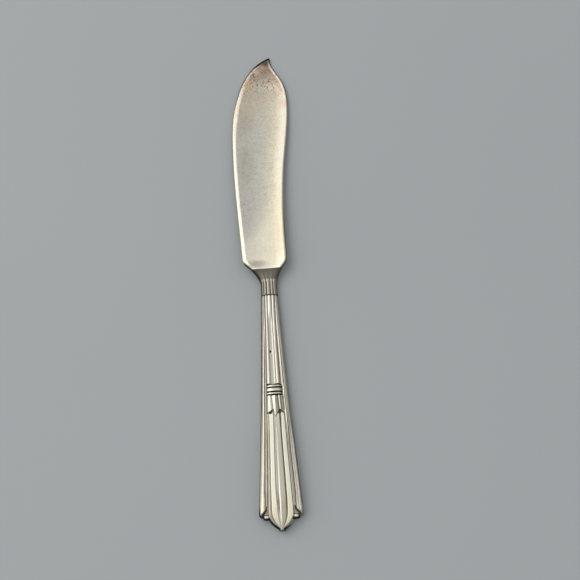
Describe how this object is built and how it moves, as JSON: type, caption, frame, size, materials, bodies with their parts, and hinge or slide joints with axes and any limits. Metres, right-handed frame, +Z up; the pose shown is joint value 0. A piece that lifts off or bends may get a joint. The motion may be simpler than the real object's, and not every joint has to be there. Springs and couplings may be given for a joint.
{
  "type": "master butter knife",
  "caption": "Hollow-handled serving knife for butter: broad blade with a curved edge and raised heel, fluted neck, and a tapering reeded handle ending in a petal between lobes.",
  "frame": {"origin": "on the table, under the middle of the knife's bounding box, with the knife lying on its flat back and the blade's tip", "axes": "+Y from the butt of the handle to the tip of the blade, +X to the right across the blade, +Z up through the ornamented front"},
  "size_m": [0.0208, 0.178, 0.0052],
  "materials": {
    "blade_plate": "satin",
    "handle_plate": "satin",
    "back_plate": "satin",
    "cement": "matte",
    "solder": "satin"
  },
  "bodies": {
    "root": {"blade": "blade_plate", "handle_front": "handle_plate", "handle_back": "back_plate", "handle_cement": "cement", "rim_solder": "solder", "neck_solder": "solder"}
  },
  "joints": []
}
